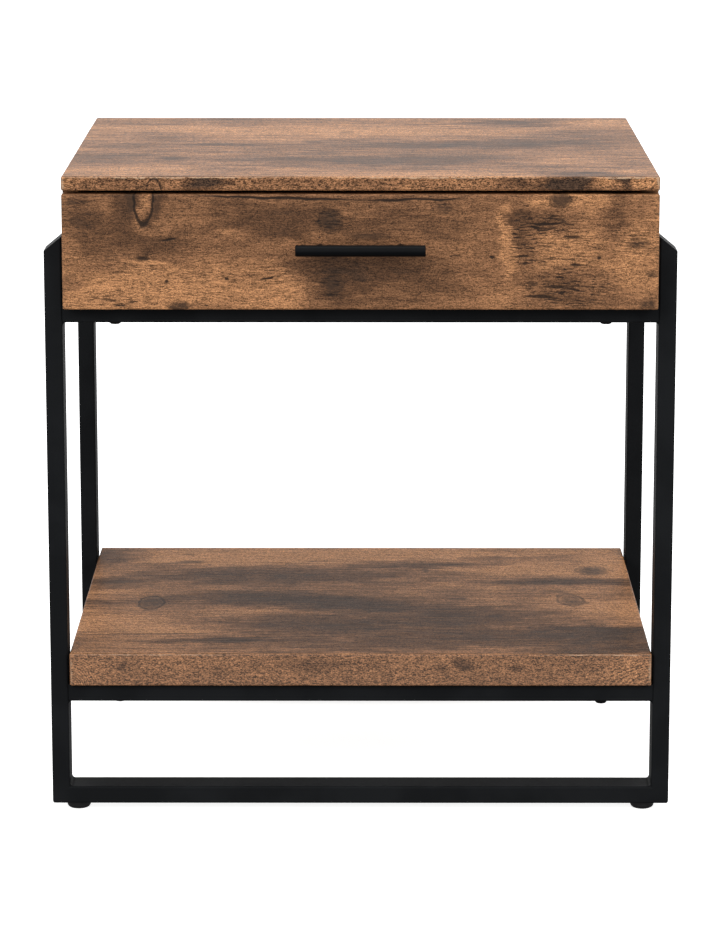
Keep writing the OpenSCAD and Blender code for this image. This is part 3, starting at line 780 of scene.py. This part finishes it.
def box_quads(counts):
    """Quads over the six sides of a grid, as grid point numbers, and each quad's side."""
    quads, sides = [], []
    for axis in range(3):
        u, v = (axis + 1) % 3, (axis + 2) % 3
        iu, iv = np.meshgrid(np.arange(counts[u] - 1), np.arange(counts[v] - 1), indexing="ij")
        for end in (0, 1):
            ring = [(0, 0), (1, 0), (1, 1), (0, 1)]
            corners = []
            for du, dv in ring if end else ring[::-1]:
                index = [None, None, None]
                index[axis] = np.full(iu.shape, end * (counts[axis] - 1))
                index[u] = iu + du
                index[v] = iv + dv
                corners.append(np.ravel_multi_index(index, counts).ravel())
            quads.append(np.stack(corners, 1))
            sides.append(np.full(iu.size, 2 * axis + end))
    return np.concatenate(quads), np.concatenate(sides)


def wear_at(point):
    """How much of an arris has worn off at a point, from 0 to 1."""
    slow = noise.noise(point * 38)
    quick = noise.noise(point * 140 + Vector((5, 9, 2)))
    return min(1.0, max(0.0, 0.25 + 0.55 * slow + 0.35 * quick))


def worn_board(name, node, radius, wear, cell):
    """Board mesh in the node's place, with rounded arrises that are worn unevenly. Its faces
    get material 0 on top and below, 1 front and back, and 2 at the ends."""
    low, high = (np.array(corner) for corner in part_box(node))
    lines = [grid_lines(low[a], high[a], radius, cell[a]) for a in range(3)]
    counts = [len(line) for line in lines]
    quads, sides = box_quads(counts)
    used, quads = np.unique(quads, return_inverse=True)
    quads = quads.reshape(-1, 4)
    index = np.unravel_index(used, counts)
    lattice = np.stack([lines[a][index[a]] for a in range(3)], 1)
    inner = np.clip(lattice, low + radius, high - radius)
    out = lattice - inner
    length = np.linalg.norm(out, axis=1, keepdims=True)
    arris = np.sort(np.abs(out), axis=1)[:, 1] / radius
    worn = np.array([wear_at(Vector(p)) for p in lattice]) * arris * wear
    reach = radius - worn
    points = inner + out / length * reach[:, None]
    mesh = bpy.data.meshes.new(name)
    mesh.from_pydata(points.tolist(), [], quads.tolist())
    mesh.polygons.foreach_set("material_index", np.array([2, 1, 0])[sides // 2].astype(np.int32))
    mesh.shade_smooth()
    return new_piece(name, mesh)


def eased_board(name, node, radius):
    """Copy of a CAD board, bores and all, with its twelve outer arrises rounded."""
    low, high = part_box(node)
    bm = bmesh.new()
    bm.from_mesh(frame["nodes"][node].data)
    bmesh.ops.remove_doubles(bm, verts=bm.verts, dist=WELD_DISTANCE)
    bmesh.ops.dissolve_limit(
        bm, angle_limit=math.radians(0.5), verts=bm.verts, edges=bm.edges, delimit=set()
    )
    arrises = [edge for edge in bm.edges if on_box_edge(edge, low, high)]
    bmesh.ops.bevel(
        bm, geom=arrises, offset=radius, segments=3, profile=0.5, affect="EDGES",
        loop_slide=False, clamp_overlap=False,
    )
    mesh = bpy.data.meshes.new(name)
    bm.to_mesh(mesh)
    bm.free()
    mesh.shade_smooth()
    mesh.set_sharp_from_angle(angle=math.radians(35))
    piece = new_piece(name, mesh)
    piece.modifiers.new("flat_faces", "WEIGHTED_NORMAL").keep_sharp = True
    return piece


def on_box_edge(edge, low, high):
    """Whether an edge lies on one of the twelve edges of a box."""
    a, b = (v.co for v in edge.verts)
    planes = 0
    for axis in range(3):
        for plane in (low[axis], high[axis]):
            if abs(a[axis] - plane) < ON_PLANE and abs(b[axis] - plane) < ON_PLANE:
                planes += 1
    return planes == 2


def new_piece(name, mesh):
    piece = bpy.data.objects.new(name, mesh)
    bpy.context.scene.collection.objects.link(piece)
    return piece


def stand_in(piece, node, materials):
    """The piece takes a CAD node's place on the node's own body."""
    for material in materials:
        piece.data.materials.append(material)
    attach(piece, frame["nodes"][node]["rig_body"])
    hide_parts(node)


# ---------- the boards ----------


def build_boards():
    top = worn_board("top_board", "top_panel", 1.6 * MM, 0.7 * MM, (8 * MM, 8 * MM, 5 * MM))
    faces = [top_print("top_panel"), top_edge_print("top_panel"), end_print("top_panel")]
    stand_in(top, "top_panel", faces)

    shelf = worn_board("shelf_plank", "shelf_board", 1.4 * MM, 0.6 * MM, (8 * MM, 8 * MM, 6 * MM))
    faces = [shelf_print("shelf_board"), shelf_edge_print("shelf_board"), end_print("shelf_board")]
    stand_in(shelf, "shelf_board", faces)

    front = worn_board("drawer_face", "drawer_front", 1.5 * MM, 0.6 * MM, (6 * MM, 6 * MM, 6 * MM))
    face = front_print("drawer_front")
    stand_in(front, "drawer_front", [face, face, face])

    for node in ("housing_left_side", "housing_right_side"):
        side = eased_board(node + "_board", node, 0.8 * MM)
        stand_in(side, node, [side_print(node)])
    back = eased_board("housing_back_board", "housing_back", 0.6 * MM)
    stand_in(back, "housing_back", [back_print("housing_back")])


def foil_along(node, foils):
    """The foil whose grain runs along the node's longer side."""
    low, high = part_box(node)
    return foils["XYZ" if high.x - low.x > high.y - low.y else "YXZ"]


def finish_cad_nodes():
    """Gives every CAD node that is still shown the material of its slot."""
    by_slot = {
        "black_steel": powder_coat("black_powder_coat", (0.0103, 0.0110, 0.0120), 0.02),
        "zinc_steel": zinc_plate(),
        "cage_plastic": moulded_plastic("cage_nylon", (0.022, 0.064, 0.19)),
        "glide_plastic": moulded_plastic("glide_polyethylene", (0.0075, 0.0075, 0.008)),
        "dowel_wood": beech(),
    }
    bar = powder_coat("black_bar_coat", (0.0026, 0.0030, 0.0038), 0.09)
    foils = {axes: board_foil(axes) for axes in ("XYZ", "YXZ")}
    for name, node in frame["nodes"].items():
        if node.hide_render:
            continue
        slot = node.data.materials[0].name
        if slot == "inner_board":
            material = foil_along(name, foils)
        elif name == "handle":
            material = bar
        else:
            material = by_slot[slot]
        node.material_slots[0].link = "OBJECT"
        node.material_slots[0].material = material


# ---------- floor, light and camera ----------

FLOOR_REACH = 30    # from the object to the floor's edge
FLOOR_GLOW = 0.85


def build_floor():
    """Plain pale floor, wide enough to reach the horizon in every view. It glows a little, so
    that it stays white, and it leaves the light on the table to the surround."""
    bm = bmesh.new()
    bmesh.ops.create_grid(bm, x_segments=8, y_segments=8, size=FLOOR_REACH)
    mesh = bpy.data.meshes.new("studio_floor")
    bm.to_mesh(mesh)
    bm.free()
    floor = new_piece("studio_floor", mesh)
    floor.visible_diffuse = False
    floor.visible_glossy = False
    material, _, shader = new_material("studio_floor")
    shader.inputs["Base Color"].default_value = (0.9, 0.9, 0.9, 1)
    shader.inputs["Roughness"].default_value = 0.9
    shader.inputs["Specular IOR Level"].default_value = 0
    shader.inputs["Emission Color"].default_value = (1, 1, 1, 1)
    shader.inputs["Emission Strength"].default_value = FLOOR_GLOW
    mesh.materials.append(material)


def softbox(name, place, target, size, watts):
    """Square area light that faces a target."""
    data = bpy.data.lights.new(name, "AREA")
    data.size = size
    data.energy = watts
    lamp = bpy.data.objects.new(name, data)
    lamp.location = place
    lamp.rotation_mode = "QUATERNION"
    lamp.rotation_quaternion = (Vector(target) - Vector(place)).to_track_quat("-Z", "Y")
    lamp.visible_camera = False
    bpy.context.scene.collection.objects.link(lamp)


def build_surround():
    """Surround that is white down to the horizon and dim below it."""
    world = bpy.data.worlds.new("studio")
    world.use_nodes = True
    g = Graph(world.node_tree)
    direction = g.node("TexCoord").outputs["Generated"]
    rise = g.node("SeparateXYZ", direction).outputs[2]
    backdrop = world.node_tree.nodes["Background"]
    g.feed(backdrop.inputs["Strength"], g.stretch(rise, -0.32, -0.02, 0.24, 1.0))
    backdrop.inputs["Color"].default_value = (1, 1, 1, 1)
    bpy.context.scene.world = world


def build_light():
    """Softboxes above and at both front corners."""
    middle = (0, 0, cad_high.z * 0.7)
    softbox("softbox_above", (0, -0.4, 2.8), middle, 1.6, 10)
    softbox("softbox_left", (-2.0, -2.6, 2.0), middle, 1.4, 38)
    softbox("softbox_right", (2.0, -2.6, 2.0), middle, 1.4, 29)


CAMERA_DISTANCE = 3.5347    # from the frame's front
CAMERA_RISE = 0.4642        # above the top
CAMERA_ASIDE = 0.0066       # to the right of the middle
CAMERA_TILT = 0.2072        # downwards, in radians
CAMERA_ROLL = 0.002
CAMERA_LENS = 146.49        # in mm, on a 36 mm sensor


def build_camera():
    """Camera a little above the top, looking down at the front."""
    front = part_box("front_left_upright")[0].y
    data = bpy.data.cameras.new("camera")
    data.sensor_width = 36
    data.lens = CAMERA_LENS
    data.clip_start = 0.1
    data.clip_end = 100
    camera = bpy.data.objects.new("camera", data)
    camera.location = (CAMERA_ASIDE, front - CAMERA_DISTANCE, cad_high.z + CAMERA_RISE)
    camera.rotation_euler = (math.pi / 2 - CAMERA_TILT, 0, CAMERA_ROLL)
    bpy.context.scene.collection.objects.link(camera)
    bpy.context.scene.camera = camera
    bpy.context.scene.view_settings.view_transform = "Standard"


build_boards()
finish_cad_nodes()
build_floor()
build_surround()
build_light()
build_camera()
